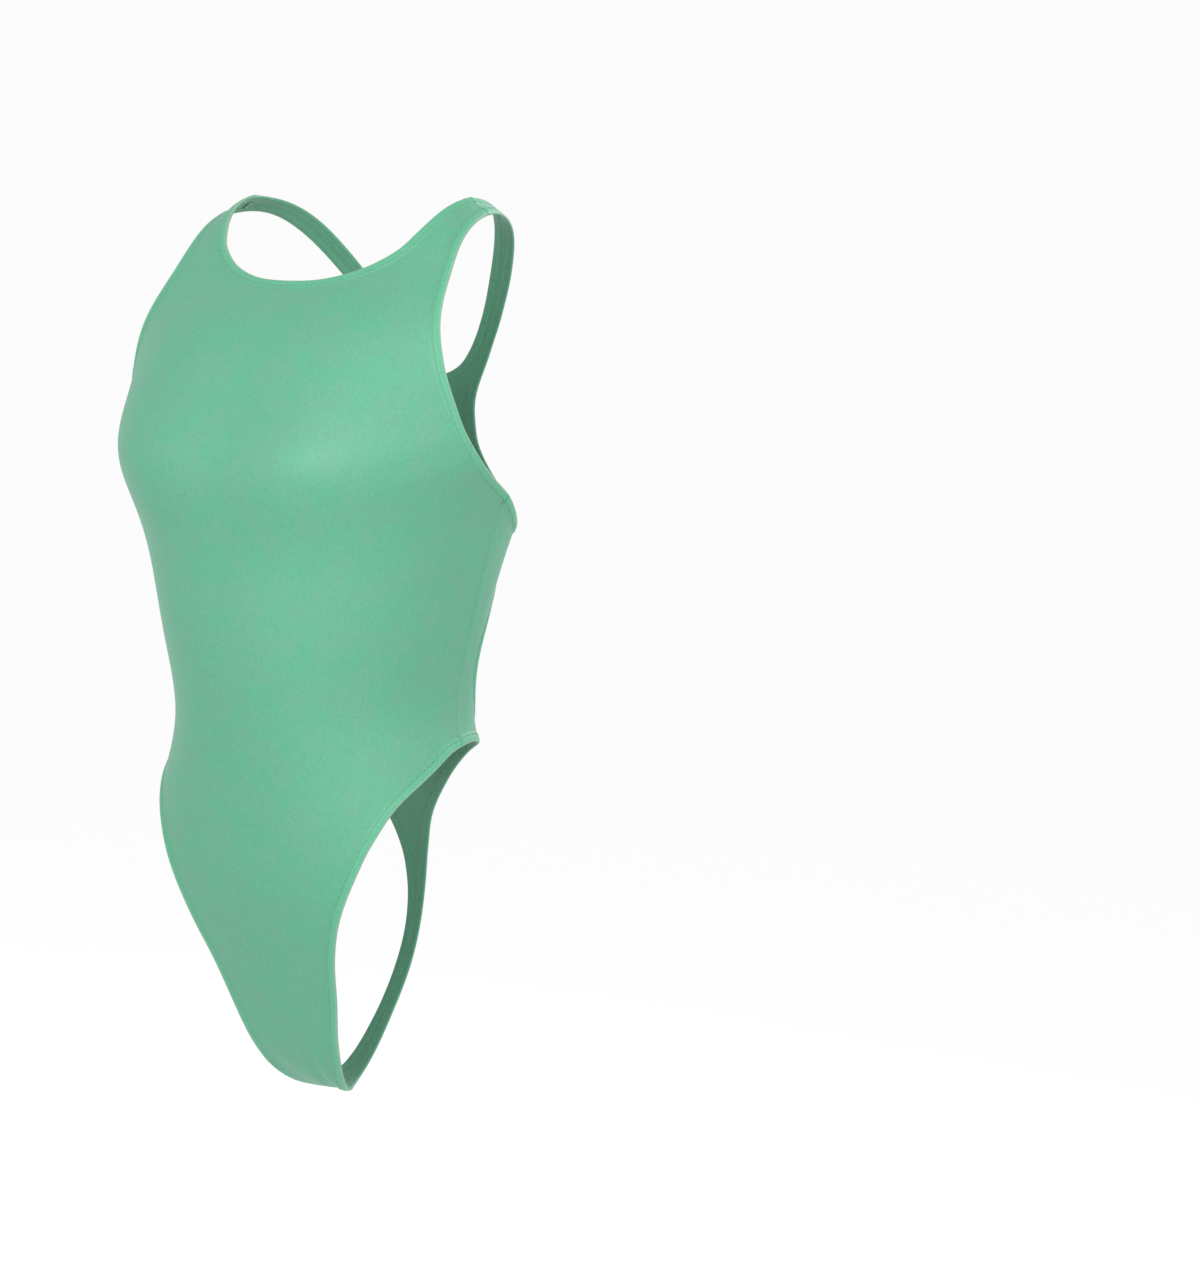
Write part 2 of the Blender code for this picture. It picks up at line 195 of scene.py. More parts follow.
# The rows of mesh points beside an elastic edge and beside a seam, and the steps along them.
HEM_ROWS = (
    0.00015, 0.0005, 0.0011, 0.0022, 0.0033, 0.0041, 0.0048, 0.0054, 0.0060, 0.0066, 0.0073, 0.0082,
)
SEAM_ROWS = (0.00025, 0.0007, 0.0013, 0.0030, 0.0050, 0.0060, 0.0074)
EDGE_STEP = 0.0022
FIELD_STEP = 0.0034
FINE_STEP = 0.001
CURVE_STEPS = 24
KEPT_SHARE = 0.97
ROWS_APART = 0.0004
MERGE = 1e-7

Edge = namedtuple("Edge", "line is_seam")


def evenly(chart, step, marks=()):
    """The line stepped evenly along the form, with extra points at the marks from each end."""
    gone = np.linalg.norm(np.diff(form(chart), axis=0), axis=1)
    gone = np.concatenate([[0], np.cumsum(gone)])
    whole = gone[-1]
    stops = np.linspace(0, whole, max(2, round(whole / step) + 1))
    if marks:
        near = max(marks)
        inner = [s for s in stops if near + step / 2 < s < whole - near - step / 2]
        stops = np.array(sorted([0, whole, *inner, *marks, *(whole - m for m in marks)]))
    return np.stack([np.interp(stops, gone, chart[:, k]) for k in (0, 1)], -1)


def cut_edge(points, first, last):
    """A free edge as a smooth curve through the points, from one of them to another."""
    knots = np.array(points, float)
    knots = np.vstack([2 * knots[0] - knots[1], knots, 2 * knots[-1] - knots[-2]])
    t = np.linspace(0, 1, CURVE_STEPS, endpoint=False)[:, None]
    pieces = []
    for i in range(first, last):
        a, b, c, d = knots[i : i + 4]
        bend = (2 * a - 5 * b + 4 * c - d) * t**2 + (3 * b - 3 * c + d - a) * t**3
        pieces.append(0.5 * (2 * b + (c - a) * t + bend))
    pieces.append(knots[last + 1 : last + 2])
    return Edge(evenly(np.vstack(pieces), EDGE_STEP, SEAM_ROWS), False)


def seam(start, end):
    """A straight seam, with points where the hem's rows meet it."""
    line = np.linspace(start, end, CURVE_STEPS)
    return Edge(evenly(line, 2 * EDGE_STEP, HEM_ROWS), True)


def mirrored(points):
    """The same points on the garment's right, in the other order."""
    return [(loop, -angle) for loop, angle in reversed(points)]


def both_sides(points):
    """An edge that crosses the centre line, from the garment's right to its left."""
    return mirrored(points[1:]) + list(points)


def whole_loop(half, crossing):
    """The edges of one half, the edge that crosses at its end, and the other half's."""
    back = [Edge((e.line * (1, -1))[::-1], e.is_seam) for e in reversed(half)]
    return [*half, crossing, *back]


def distance_to(points, line):
    """The distance from each point to a line of points in space."""
    tree = KDTree(len(line))
    for i, p in enumerate(line):
        tree.insert(p, i)
    tree.balance()
    near = np.array([tree.find(p)[1] for p in points])
    best = np.full(len(points), np.inf)
    for shift in (-1, 0):
        i = np.clip(near + shift, 0, len(line) - 2)
        piece = line[i + 1] - line[i]
        t = np.clip(((points - line[i]) * piece).sum(1) / (piece * piece).sum(1), 0, 1)
        best = np.minimum(best, np.linalg.norm(points - line[i] - piece * t[:, None], axis=1))
    return best


def fine(edge):
    """Closely spaced points in space along an edge."""
    return form(evenly(edge.line, FINE_STEP))


def gap_to(points, edges, seams):
    """The distance from each point to the nearest seam, or to the nearest free edge."""
    return np.min([distance_to(points, fine(e)) for e in edges if e.is_seam == seams], axis=0)


def into_panel(line, turn):
    """For each point of an edge, the direction over the form that leads into the panel."""
    return turn * np.cross(outward(line), unit(np.gradient(form(line), axis=0)))


def turn_of(edges):
    """Which way round the edges run, so that a step inwards has the right sign."""
    x, y = flat(np.vstack([edge.line for edge in edges])).T
    return -np.sign((x * np.roll(y, -1) - np.roll(x, -1) * y).sum())


def inside(points, boundary):
    """Which flat points lie inside the flat closed loop."""
    found = np.zeros(len(points), bool)
    x, y = points.T
    for a, b in zip(boundary, np.roll(boundary, -1, axis=0)):
        if a[1] == b[1]:
            continue
        crosses = (a[1] > y) != (b[1] > y)
        found ^= crosses & (x < a[0] + (y - a[1]) * (b[0] - a[0]) / (b[1] - a[1]))
    return found


def rows_beside(edges, turn, boundary):
    """Rows of points beside each edge, broken where another edge comes closer."""
    for edge in edges:
        for away in SEAM_ROWS if edge.is_seam else HEM_ROWS:
            row = moved(edge.line, into_panel(edge.line, turn), away)
            place = form(row)
            others = [e for e in edges if e is not edge]
            kept = inside(flat(row), boundary)
            kept &= distance_to(place, fine(edge)) > away * KEPT_SHARE
            kept &= gap_to(place, others, edge.is_seam) > away + ROWS_APART
            clear = HEM_ROWS[-1] + ROWS_APART if edge.is_seam else SEAM_ROWS[0] / 2
            kept &= gap_to(place, edges, not edge.is_seam) > clear
            runs = np.split(np.arange(len(row)), np.flatnonzero(np.diff(kept.astype(int))) + 1)
            yield from (row[run] for run in runs if kept[run[0]])


def field_of(boundary, edges):
    """Evenly spread points over the rest of the panel."""
    low, high = boundary.min(axis=0), boundary.max(axis=0)
    x = np.arange(0, high[0], FIELD_STEP)
    x = np.concatenate([-x[:0:-1], x])
    rows = np.arange(low[1] + FIELD_STEP, high[1], FIELD_STEP)
    grid = np.vstack([
        np.stack([x + (n % 2) * FIELD_STEP / 2, np.full(len(x), y)], -1) for n, y in enumerate(rows)
    ])
    chart = chart_of(grid[inside(grid, boundary)])
    place = form(chart)
    clear = gap_to(place, edges, False) > HEM_ROWS[-1] + FIELD_STEP / 2
    clear &= gap_to(place, edges, True) > SEAM_ROWS[-1] + FIELD_STEP / 2
    return chart[clear]


def fill(edges):
    """The chart points of a panel and its triangles."""
    turn = turn_of(edges)
    rim = np.vstack([e.line if e.is_seam else e.line[1:-1] for e in edges])
    boundary = flat(rim)
    charts = [rim]
    links = [(i, (i + 1) % len(rim)) for i in range(len(rim))]
    count = len(rim)
    for row in rows_beside(edges, turn, boundary):
        links += [(count + i, count + i + 1) for i in range(len(row) - 1)]
        charts.append(row)
        count += len(row)
    charts.append(field_of(boundary, edges))
    chart = np.vstack(charts)
    laid = flat(chart)
    filled = delaunay_2d_cdt([Vector(p) for p in laid], links, [], 0, MERGE, True)
    source = np.array([s[0] if s else -1 for s in filled[3]])
    triangles = source[np.array(filled[2])]
    triangles = triangles[(triangles >= 0).all(axis=1)]
    return chart, triangles[inside(laid[triangles].mean(axis=1), boundary)]


# The knit is drawn 1.2 mm thick. The edge is folded over an elastic about 6 mm wide, so it has a
# round fold and a raised band, which the stitches press down near its end.
WALL = 0.0012
HEM_WALL = 0.0021
HEM_WIDTH = 0.0064
HEM_FADE = 0.0013
HEM_CROWN = 0.00016
HEM_INSIDE = 0.00035
FOLD_RADIUS = 0.0011
STITCH_LINE = 0.0056
STITCH_SINK = 0.00034
STITCH_SINK_WIDE = 0.0007
PUCKER = 0.00007
PUCKER_LENGTHS = (0.0063, 0.0094)

# At a seam both edges turn in, and the seam allowance lies under the back's side of it. Where a
# hem crosses a seam, the layers double up in a small hump.
SEAM_ROUND = 0.0005
SEAM_FLOOR = 0.88
ALLOWANCE = 0.0052
ALLOWANCE_RISE = 0.00040
HEM_HUMP = 0.00045

# A soft crease goes from one chart place to another, with its half width and height in metres. It
# dies away towards both ends.
CREASE_ENDS = (0.02, 0.98)
CREASE_TAPER = 0.7
Crease = namedtuple("Crease", "loop angle to_loop to_angle half_width height")
Panel = namedtuple("Panel", "edges allowance creases")
Cloth = namedtuple("Cloth", "place out laid edge_gap seam_gap inner outer")


def ramp(x, low, high):
    """0 below low, 1 above high, and smooth between them."""
    t = np.clip((x - low) / (high - low), 0, 1)
    return t * t * (3 - 2 * t)


def quarter_round(x, radius):
    """A quarter circle that rises from 0 at x = 0 to 1 at the radius."""
    return np.sqrt(1 - (1 - np.clip(x / radius, 0, 1)) ** 2)


def crease_height(laid, creases):
    """How far the soft creases lift or sink the cloth."""
    lift = np.zeros(len(laid))
    for crease in creases:
        start, end = flat(np.array([crease[:2], crease[2:4]], float))
        run = end - start
        t = np.clip((laid - start) @ run / (run @ run), 0, 1)
        away = np.linalg.norm(laid - start - run * t[:, None], axis=1)
        taper = np.sin(np.pi * np.clip(t, *CREASE_ENDS)) ** CREASE_TAPER
        lift += crease.height * taper * np.exp(-((away / crease.half_width) ** 2))
    return lift


def cloth_at(panel, chart):
    """Where the cloth of a panel is at the chart points, and how high its two faces stand."""
    place, out, laid = form(chart), outward(chart), flat(chart)
    edge_gap = gap_to(place, panel.edges, False)
    seam_gap = gap_to(place, panel.edges, True)
    hem = 1 - ramp(edge_gap, HEM_WIDTH - HEM_FADE / 2, HEM_WIDTH + HEM_FADE)
    outer = WALL + (HEM_WALL - WALL) * hem
    outer += HEM_CROWN * np.sin(np.pi * np.clip(edge_gap / HEM_WIDTH, 0, 1))
    outer -= STITCH_SINK * np.exp(-(((edge_gap - STITCH_LINE) / STITCH_SINK_WIDE) ** 2))
    waves = sum(np.sin(2 * np.pi * (laid[:, 0] + laid[:, 1]) / p) for p in PUCKER_LENGTHS)
    outer += PUCKER * waves * hem * ramp(edge_gap, FOLD_RADIUS, HEM_WIDTH / 2)
    beside = ramp(seam_gap, SEAM_ROUND / 2, 2 * SEAM_ROUND)
    beside *= 1 - ramp(seam_gap, ALLOWANCE - HEM_FADE, ALLOWANCE + HEM_FADE)
    outer += beside * (panel.allowance * ALLOWANCE_RISE + hem * HEM_HUMP)
    inner = -HEM_INSIDE * (1 - ramp(edge_gap, HEM_WIDTH - HEM_FADE / 4, HEM_WIDTH + HEM_FADE / 4))
    middle = HEM_WALL / 2
    fold = quarter_round(edge_gap, FOLD_RADIUS)
    outer = middle + (outer - middle) * fold
    inner = middle + (inner - middle) * fold
    floor = inner + SEAM_FLOOR * (outer - inner)
    outer = floor + (outer - floor) * quarter_round(seam_gap, SEAM_ROUND)
    lift = crease_height(laid, panel.creases)
    return Cloth(place, out, laid, edge_gap, seam_gap, inner + lift, outer + lift)


def new_piece(name, mesh, material):
    """A piece of the garment from its mesh."""
    mesh.shade_smooth()
    mesh.materials.append(material)
    piece = bpy.data.objects.new(name, mesh)
    bpy.context.scene.collection.objects.link(piece)
    return piece


def merged(mesh):
    """Points that meet are joined, and what that leaves flat is taken away."""
    shell = bmesh.new()
    shell.from_mesh(mesh)
    bmesh.ops.remove_doubles(shell, verts=shell.verts, dist=MERGE)
    bmesh.ops.dissolve_degenerate(shell, edges=shell.edges, dist=MERGE)
    shell.to_mesh(mesh)
    shell.free()


def lay_out(mesh, laid):
    """The knit's own map: each corner's place on the flat cloth, in metres."""
    corner = np.empty(len(mesh.loops), int)
    mesh.loops.foreach_get("vertex_index", corner)
    mesh.uv_layers.new(name="knit_map").data.foreach_set("uv", laid[corner].ravel())


def note(mesh, title, kind, values):
    """A value or a direction kept at each point of a mesh."""
    field = "value" if kind == "FLOAT" else "vector"
    mesh.attributes.new(title, kind, "POINT").data.foreach_set(field, np.ravel(values))


def knit_panel(name, panel, material):
    """One panel of the garment as a closed shell with round folded edges."""
    chart, triangles = fill(panel.edges)
    cloth = cloth_at(panel, chart)
    count = len(chart)
    ends = {(a, b) for t in triangles.tolist() for a, b in zip(t, t[1:] + t[:1])}
    sides = []
    for a, b in sorted((a, b) for a, b in ends if (b, a) not in ends):
        sides += [(b, a, a + count), (b, a + count, b + count)]
    heights = (cloth.inner, cloth.outer)
    points = np.vstack([cloth.place + cloth.out * height[:, None] for height in heights])
    faces = np.vstack([triangles, triangles[:, ::-1] + count, sides])
    mesh = bpy.data.meshes.new(name)
    mesh.from_pydata(points.tolist(), [], faces.tolist())
    lay_out(mesh, np.tile(cloth.laid, (2, 1)))
    note(mesh, "edge_gap", "FLOAT", np.tile(cloth.edge_gap, 2))
    note(mesh, "worn_out", "FLOAT", np.repeat([0.0, 1.0], count))
    merged(mesh)
    return new_piece(name, mesh, material)


# The knit is a fine single jersey of nylon and elastane. On the outside its loops stand as small
# Vs in upright wales. It is semi-matte, with faint greyer patches. The hem's green is fuller,
# because the layers under it let no light through. Along the stitches, which press the cloth
# down, a darker line of painted shade is laid in, and the fold has a pale painted highlight.
WALE = 0.00075
COURSE = 0.00060
KNIT_DEPTH = 0.00007
KNIT_SLANT = 1.1
KNIT_LEG_POWER = 0.6
KNIT_DIP, KNIT_LEVEL = 0.3, 0.7
KNIT_TONE, KNIT_DARK = 0.16, 0.90
FUZZ_TONE, FUZZ_DARK, FUZZ_SHARE = 0.36, 0.82, 0.5
KNIT_GREEN = (0.062, 0.257, 0.155, 1)
KNIT_GREEN_GREY = (0.074, 0.249, 0.161, 1)
HEM_GREEN = (0.064, 0.283, 0.163, 1)
# The next colour is painted shade along the stitch line, where the stitches press a groove.
STITCH_GROOVE_SHADE = (0.056, 0.230, 0.136, 1)
# The next colour is a painted highlight on the round fold of the hem.
FOLD_HIGHLIGHT = (0.140, 0.285, 0.190, 1)
INSIDE_GREEN = (0.068, 0.228, 0.141, 1)
# Half width of the painted shade along the stitch line.
STITCH_SHADE_WIDTH = 0.0010
# Where the painted highlight on the fold fades out.
HIGHLIGHT_FROM, HIGHLIGHT_TO = 0.7 * FOLD_RADIUS, 1.7 * FOLD_RADIUS
CLOUD_SCALE = 45.0
CLOUD_EDGES = (0.40, 0.60)
KNIT_ROUGH_MORE, KNIT_ROUGH = 0.14, 0.45
SHEEN_GREEN = (0.85, 1.0, 0.93, 1)
FIBRE_SCALE = 560.0


def add_node(tree, kind, values=None, **settings):
    """A node with its settings, and its inputs' values or links by name or number."""
    node = tree.nodes.new(kind)
    for key, value in settings.items():
        setattr(node, key, value)
    for key, value in (values or {}).items():
        if isinstance(value, bpy.types.NodeSocket):
            tree.links.new(value, node.inputs[key])
        else:
            node.inputs[key].default_value = value
    return node


def reckon(tree, operation, *values):
    """One Math node's result."""
    return add_node(tree, "ShaderNodeMath", dict(enumerate(values)), operation=operation).outputs[0]


def mask(tree, value, low, high):
    """1 where the value is under low, 0 where it is over high."""
    steps = {"Value": value, "From Min": low, "From Max": high, "To Min": 1.0, "To Max": 0.0}
    return add_node(tree, "ShaderNodeMapRange", steps, interpolation_type="SMOOTHSTEP").outputs[0]


def blend(tree, factor, first, second, how="MIX"):
    """Two colours mixed."""
    colours = {0: factor, 6: first, 7: second}
    return add_node(tree, "ShaderNodeMix", colours, data_type="RGBA", blend_type=how).outputs[2]


def toned(tree, colour, tone):
    """A colour made darker or lighter by a value."""
    grey = add_node(tree, "ShaderNodeCombineColor", {0: tone, 1: tone, 2: tone}).outputs[0]
    return blend(tree, 1.0, colour, grey, "MULTIPLY")


def knit_loops_group():
    """Height and tone of plain knit: Vs in upright wales, from a map in metres."""
    group = bpy.data.node_groups.new("knit_loops", "ShaderNodeTree")
    for title, kind in (("Map", "Vector"), ("Wale", "Float"), ("Course", "Float")):
        group.interface.new_socket(title, in_out="INPUT", socket_type="NodeSocket" + kind)
    for title in ("Height", "Tone"):
        group.interface.new_socket(title, in_out="OUTPUT", socket_type="NodeSocketFloat")
    given = group.nodes.new("NodeGroupInput").outputs
    part = add_node(group, "ShaderNodeSeparateXYZ", {0: given["Map"]}).outputs
    wale = reckon(group, "DIVIDE", part["X"], given["Wale"])
    course = reckon(group, "DIVIDE", part["Y"], given["Course"])
    across = reckon(group, "PINGPONG", wale, 0.5)
    leg = reckon(group, "SINE", reckon(group, "MULTIPLY", across, 2 * np.pi))
    slant = reckon(group, "ADD", course, reckon(group, "MULTIPLY", across, KNIT_SLANT))
    wave = reckon(group, "SINE", reckon(group, "MULTIPLY", slant, 2 * np.pi))
    round_leg = reckon(group, "POWER", reckon(group, "MAXIMUM", leg, 0.0), KNIT_LEG_POWER)
    level = reckon(group, "MULTIPLY_ADD", wave, KNIT_DIP, KNIT_LEVEL)
    height = reckon(group, "MULTIPLY", round_leg, level)
    out = group.nodes.new("NodeGroupOutput").inputs
    group.links.new(height, out["Height"])
    group.links.new(reckon(group, "MULTIPLY_ADD", height, KNIT_TONE, KNIT_DARK), out["Tone"])
    return group


def fibre_fuzz_group():
    """Height and tone of the fine fuzz of spun fibre."""
    group = bpy.data.node_groups.new("fibre_fuzz", "ShaderNodeTree")
    group.interface.new_socket("Scale", in_out="INPUT", socket_type="NodeSocketFloat")
    for title in ("Height", "Tone"):
        group.interface.new_socket(title, in_out="OUTPUT", socket_type="NodeSocketFloat")
    given = group.nodes.new("NodeGroupInput").outputs
    place = group.nodes.new("ShaderNodeTexCoord").outputs["Object"]
    grain = {"Vector": place, "Scale": given["Scale"], "Detail": 3.0}
    speck = add_node(group, "ShaderNodeTexNoise", grain).outputs["Fac"]
    out = group.nodes.new("NodeGroupOutput").inputs
    group.links.new(speck, out["Height"])
    group.links.new(reckon(group, "MULTIPLY_ADD", speck, FUZZ_TONE, FUZZ_DARK), out["Tone"])
    return group


knit_loops = knit_loops_group()
fibre_fuzz = fibre_fuzz_group()


def jersey_material():
    """The cloth's finish, outside, on the hems and inside."""
    material = bpy.data.materials.new("sea_green_jersey")
    material.use_nodes = True
    tree = material.node_tree
    shader = tree.nodes["Principled BSDF"]
    place = tree.nodes.new("ShaderNodeTexCoord").outputs["Object"]
    laid = add_node(tree, "ShaderNodeUVMap", uv_map="knit_map").outputs["UV"]
    edge_gap = add_node(tree, "ShaderNodeAttribute", attribute_name="edge_gap").outputs["Fac"]
    worn_out = add_node(tree, "ShaderNodeAttribute", attribute_name="worn_out").outputs["Fac"]
    loops = add_node(tree, "ShaderNodeGroup", node_tree=knit_loops)
    tree.links.new(laid, loops.inputs["Map"])
    loops.inputs["Wale"].default_value = WALE
    loops.inputs["Course"].default_value = COURSE
    fuzz = add_node(tree, "ShaderNodeGroup", node_tree=fibre_fuzz)
    fuzz.inputs["Scale"].default_value = FIBRE_SCALE
    patches = {"Vector": place, "Scale": CLOUD_SCALE, "Detail": 4.0}
    cloud = add_node(tree, "ShaderNodeTexNoise", patches).outputs["Fac"]
    base = blend(tree, mask(tree, cloud, *CLOUD_EDGES), KNIT_GREEN_GREY, KNIT_GREEN)
    hem = mask(tree, edge_gap, HEM_WIDTH - HEM_FADE / 3, HEM_WIDTH + HEM_FADE)
    base = blend(tree, hem, base, HEM_GREEN)
    # Painted highlight on the hem's fold.
    base = blend(tree, mask(tree, edge_gap, HIGHLIGHT_FROM, HIGHLIGHT_TO), base, FOLD_HIGHLIGHT)
    # Painted shade along the stitch line, where the stitches press a groove.
    from_stitches = reckon(tree, "ABSOLUTE", reckon(tree, "SUBTRACT", edge_gap, STITCH_LINE))
    stitch_shade = mask(tree, from_stitches, STITCH_SHADE_WIDTH / 3, STITCH_SHADE_WIDTH)
    base = blend(tree, stitch_shade, base, STITCH_GROOVE_SHADE)
    base = blend(tree, worn_out, INSIDE_GREEN, base)
    tone = reckon(tree, "MULTIPLY", fuzz.outputs["Tone"], loops.outputs["Tone"])
    tree.links.new(toned(tree, base, tone), shader.inputs["Base Color"])
    rough = reckon(tree, "MULTIPLY_ADD", cloud, KNIT_ROUGH_MORE, KNIT_ROUGH)
    tree.links.new(rough, shader.inputs["Roughness"])
    fuzzy = fuzz.outputs["Height"]
    height = reckon(tree, "MULTIPLY_ADD", fuzzy, FUZZ_SHARE, loops.outputs["Height"])
    relief = {"Height": height, "Strength": 0.7, "Distance": KNIT_DEPTH}
    bump = add_node(tree, "ShaderNodeBump", relief)
    tree.links.new(bump.outputs["Normal"], shader.inputs["Normal"])
    shader.inputs["Specular IOR Level"].default_value = 0.4
    shader.inputs["Sheen Weight"].default_value = 0.10
    shader.inputs["Sheen Roughness"].default_value = 0.35
    shader.inputs["Sheen Tint"].default_value = SHEEN_GREEN
    return material


jersey = jersey_material()

# The sewing thread is spun polyester, a little paler than the cloth in places. A zigzag crosses
# the end of the hem, and shows outside and inside.
THREAD_RADIUS = 0.00017
THREAD_SIDES = 5
THREAD_PALE = (0.150, 0.350, 0.220, 1)
THREAD_GREEN = (0.075, 0.262, 0.157, 1)
THREAD_FIBRE_SCALE = 2600.0
THREAD_CLOUD_SCALE = 450.0
THREAD_ROUGH_MORE, THREAD_ROUGH = 0.2, 0.40
ZIGZAG_STEP = 0.0015
ZIGZAG_HALF = 0.0007
LEG_RISE = 0.00012
LEG_SINK = 0.00010


def thread_material():
    """The thread's finish."""
    material = bpy.data.materials.new("pale_green_thread")
    material.use_nodes = True
    tree = material.node_tree
    shader = tree.nodes["Principled BSDF"]
    place = tree.nodes.new("ShaderNodeTexCoord").outputs["Object"]
    patches = {"Vector": place, "Scale": THREAD_CLOUD_SCALE, "Detail": 1.0}
    cloud = add_node(tree, "ShaderNodeTexNoise", patches).outputs["Fac"]
    fuzz = add_node(tree, "ShaderNodeGroup", node_tree=fibre_fuzz)
    fuzz.inputs["Scale"].default_value = THREAD_FIBRE_SCALE
    base = blend(tree, cloud, THREAD_GREEN, THREAD_PALE)
    tree.links.new(toned(tree, base, fuzz.outputs["Tone"]), shader.inputs["Base Color"])
    relief = {"Height": fuzz.outputs["Height"], "Strength": 0.5, "Distance": THREAD_RADIUS / 2}
    bump = add_node(tree, "ShaderNodeBump", relief)
    tree.links.new(bump.outputs["Normal"], shader.inputs["Normal"])
    rough = reckon(tree, "MULTIPLY_ADD", cloud, THREAD_ROUGH_MORE, THREAD_ROUGH)
    tree.links.new(rough, shader.inputs["Roughness"])
    shader.inputs["Sheen Weight"].default_value = 0.2
    return material


def stitch_legs_tree():
    """One bent leg of thread on each point, along and facing as the point says."""
    tree = bpy.data.node_groups.new("stitch_legs", "GeometryNodeTree")
    sockets = [("Geometry", "Geometry")]
    sockets += [(title, "Float") for title in ("Leg Length", "Thread Radius", "Rise", "Sink")]
    for title, kind in [*sockets, ("Thread Sides", "Int"), ("Thread", "Material")]:
        tree.interface.new_socket(title, in_out="INPUT", socket_type="NodeSocket" + kind)
    tree.interface.new_socket("Geometry", in_out="OUTPUT", socket_type="NodeSocketGeometry")
    given = tree.nodes.new("NodeGroupInput").outputs
    half = reckon(tree, "MULTIPLY", given["Leg Length"], 0.5)
    back = reckon(tree, "MULTIPLY", half, -1.0)
    down = reckon(tree, "MULTIPLY", given["Sink"], -1.0)
    start = add_node(tree, "ShaderNodeCombineXYZ", {"X": back, "Z": down}).outputs[0]
    top = add_node(tree, "ShaderNodeCombineXYZ", {"Z": given["Rise"]}).outputs[0]
    end = add_node(tree, "ShaderNodeCombineXYZ", {"X": half, "Z": down}).outputs[0]
    bend = {"Resolution": 4, "Start": start, "Middle": top, "End": end}
    leg = add_node(tree, "GeometryNodeCurveQuadraticBezier", bend).outputs[0]
    ring = {"Resolution": given["Thread Sides"], "Radius": given["Thread Radius"]}
    ring = add_node(tree, "GeometryNodeCurvePrimitiveCircle", ring).outputs[0]
    tube = {"Curve": leg, "Profile Curve": ring, "Fill Caps": True}
    tube = add_node(tree, "GeometryNodeCurveToMesh", tube).outputs[0]
    turn = None
    for title, axis, pivot in (("facing", "Z", "AUTO"), ("along", "X", "Z")):
        kept = {"Name": title}
        kept = add_node(tree, "GeometryNodeInputNamedAttribute", kept, data_type="FLOAT_VECTOR")
        way = {"Vector": kept.outputs[0]}
        if turn:
            way["Rotation"] = turn
        kind = "FunctionNodeAlignRotationToVector"
        turn = add_node(tree, kind, way, axis=axis, pivot_axis=pivot).outputs[0]
    legs = {"Points": given["Geometry"], "Instance": tube, "Rotation": turn}
    legs = add_node(tree, "GeometryNodeInstanceOnPoints", legs).outputs[0]
    real = add_node(tree, "GeometryNodeRealizeInstances", {"Geometry": legs}).outputs[0]
    dyed = {"Geometry": real, "Material": given["Thread"]}
    dyed = add_node(tree, "GeometryNodeSetMaterial", dyed).outputs[0]
    out = tree.nodes.new("NodeGroupOutput")
    tree.links.new(dyed, out.inputs[0])
    return tree


thread = thread_material()
stitch_legs = stitch_legs_tree()


def zigzag_corners(panel, outside):
    """Runs of the zigzag's corners along every hem of a panel, with the cloth's direction."""
    turn = turn_of(panel.edges)
    for edge in panel.edges:
        if edge.is_seam:
            continue
        line = evenly(edge.line, ZIGZAG_STEP)
        swing = ZIGZAG_HALF * (-1) ** np.arange(len(line))
        corners = moved(line, into_panel(line, turn), (STITCH_LINE + swing)[:, None])
        cloth = cloth_at(panel, corners)
        kept = cloth.edge_gap > STITCH_LINE - 2 * ZIGZAG_HALF
        kept &= cloth.seam_gap > THREAD_RADIUS
        lifted = cloth.outer if outside else cloth.inner
        points = cloth.place + cloth.out * lifted[:, None]
        for run in np.split(np.arange(len(line)), np.flatnonzero(~kept)):
            run = run[kept[run]]
            if len(run) > 1:
                yield points[run], cloth.out[run] * (1 if outside else -1)


def thread_piece(name, runs):
    """Legs of thread between each two corners of every run."""
    centres, alongs, facings, lengths = [], [], [], []
    for points, facing in runs:
        steps = np.diff(points, axis=0)
        centres.append((points[1:] + points[:-1]) / 2)
        alongs.append(unit(steps))
        facings.append(unit(facing[1:] + facing[:-1]))
        lengths.append(np.linalg.norm(steps, axis=1))
    mesh = bpy.data.meshes.new(name + "_legs")
    mesh.from_pydata(np.vstack(centres).tolist(), [], [])
    note(mesh, "along", "FLOAT_VECTOR", np.vstack(alongs))
    note(mesh, "facing", "FLOAT_VECTOR", np.vstack(facings))
    marks = bpy.data.objects.new(name + "_legs", mesh)
    bpy.context.scene.collection.objects.link(marks)
    sewing = marks.modifiers.new("sewing", "NODES")
    sewing.node_group = stitch_legs
    values = {
        "Leg Length": float(np.median(np.concatenate(lengths))),
        "Thread Radius": THREAD_RADIUS,
        "Rise": LEG_RISE,
        "Sink": LEG_SINK,
        "Thread Sides": THREAD_SIDES,
        "Thread": thread,
    }
    for item in stitch_legs.interface.items_tree:
        if item.in_out == "INPUT" and item.name in values:
            sewing[item.identifier] = values[item.name]
    ready = marks.evaluated_get(bpy.context.evaluated_depsgraph_get())
    plain = bpy.data.meshes.new_from_object(ready)
    plain.name = name
    plain.materials.clear()
    bpy.data.objects.remove(marks)
    return new_piece(name, plain, thread)


def hem_stitches(name, panel):
    """The zigzag along every hem of a panel, as it shows outside and inside."""
    runs = [run for outside in (True, False) for run in zigzag_corners(panel, outside)]
    return thread_piece(name, runs)


